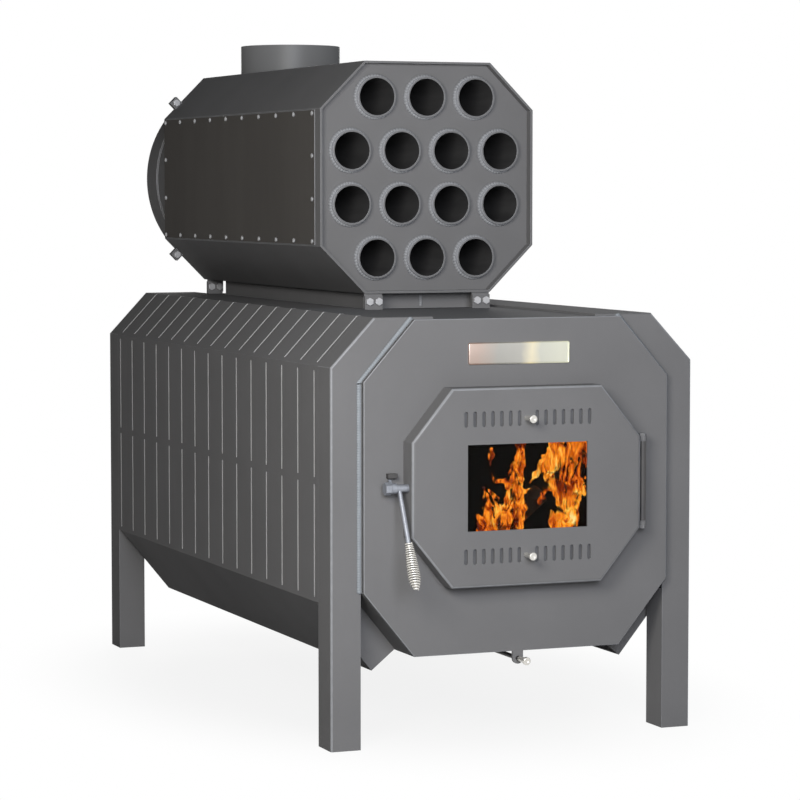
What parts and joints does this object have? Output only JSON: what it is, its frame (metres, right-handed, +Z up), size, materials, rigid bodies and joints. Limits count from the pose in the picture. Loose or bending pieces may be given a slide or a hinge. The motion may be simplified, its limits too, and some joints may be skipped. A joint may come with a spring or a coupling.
{
  "type": "workshop stove",
  "caption": "Wood-burning workshop stove: octagonal firebox in a slotted casing on box legs, glazed door with sliding air slots, and a fan-blown tube heat exchanger with a flue collar on top.",
  "frame": {"origin": "centre of the whole stove's box, on the floor between the feet", "axes": "+Z up, +Y from the door to the fan, +X to the right of someone facing the door"},
  "size_m": [0.69, 1.6042, 1.264],
  "materials": {
    "graphite_paint": "satin heat-proof paint",
    "black_paint": "satin",
    "nickel": "polished nickel plate",
    "dark_steel": "satin black",
    "bare_steel": "mill finish",
    "cast_iron": "rough as cast",
    "stainless": "brushed lengthwise",
    "glass": "clear heat-proof glass",
    "rope": "woven fibre rope",
    "aluminium": "pressed sheet"
  },
  "bodies": {
    "stove": {"air_tube_01": "graphite_paint", "air_tube_02": "graphite_paint", "air_tube_03": "graphite_paint", "air_tube_04": "graphite_paint", "air_tube_05": "graphite_paint", "air_tube_06": "graphite_paint", "air_tube_07": "graphite_paint", "air_tube_08": "graphite_paint", "air_tube_09": "graphite_paint", "air_tube_10": "graphite_paint", "air_tube_11": "graphite_paint", "air_tube_12": "graphite_paint", "air_tube_13": "graphite_paint", "air_tube_14": "graphite_paint", "cover_screws": "nickel", "exchanger_shell": "graphite_paint", "fan_drum": "graphite_paint", "fan_guard": "black_paint", "fan_motor": "black_paint", "fan_plate": "graphite_paint", "fire_grate": "cast_iron", "firebox_shell": "graphite_paint", "flue_collar": "graphite_paint", "frame_bolts": "nickel", "front_left_post": "graphite_paint", "front_panel": "graphite_paint", "front_right_post": "graphite_paint", "front_tube_plate": "graphite_paint", "hinge_lugs": "graphite_paint", "hinge_pin": "nickel", "latch_keeper": "dark_steel", "left_casing": "graphite_paint", "left_side_cover": "graphite_paint", "nameplate": "stainless", "rear_left_post": "graphite_paint", "rear_panel": "graphite_paint", "rear_right_post": "graphite_paint", "rear_tube_plate": "graphite_paint", "right_casing": "graphite_paint", "right_side_cover": "graphite_paint", "shutter_guides": "dark_steel", "smoke_duct": "graphite_paint", "stand_brackets": "graphite_paint"},
    "door": {"door_shell": "graphite_paint", "hinge_barrel": "graphite_paint", "door_glass": "glass", "glass_clamps": "bare_steel", "door_seal": "rope", "register_guides": "bare_steel", "latch_pivot": "nickel"},
    "handle": {"handle_lever": "dark_steel", "spring_grip": "nickel"},
    "upper_air_slide": {"upper_register": "bare_steel", "upper_knob": "nickel"},
    "lower_air_slide": {"lower_register": "bare_steel", "lower_knob": "nickel"},
    "shutter": {"air_shutter": "dark_steel", "pull_knob": "nickel"},
    "impeller": {"fan_impeller": "aluminium"}
  },
  "joints": [
    {"name": "door_hinge", "type": "hinge", "parent": "stove", "child": "door", "pos_m": [0.229, -0.72113, 0.453], "axis": [0, 0, 1], "range_deg": [0, 110]},
    {"name": "handle_turn", "type": "hinge", "parent": "door", "child": "handle", "pos_m": [-0.2335, -0.71813, 0.456], "axis": [-1, 0, 0], "range_deg": [0, 80]},
    {"name": "upper_air", "type": "slide", "parent": "door", "child": "upper_air_slide", "axis": [1, 0, 0], "range_m": [0, 0.00838]},
    {"name": "lower_air", "type": "slide", "parent": "door", "child": "lower_air_slide", "axis": [1, 0, 0], "range_m": [0, 0.00838]},
    {"name": "floor_air", "type": "slide", "parent": "stove", "child": "shutter", "axis": [0, -1, 0], "range_m": [0, 0.085]},
    {"name": "fan_spin", "type": "hinge", "parent": "stove", "child": "impeller", "pos_m": [0, 0.69887, 0.989], "axis": [0, 1, 0], "continuous": true}
  ]
}
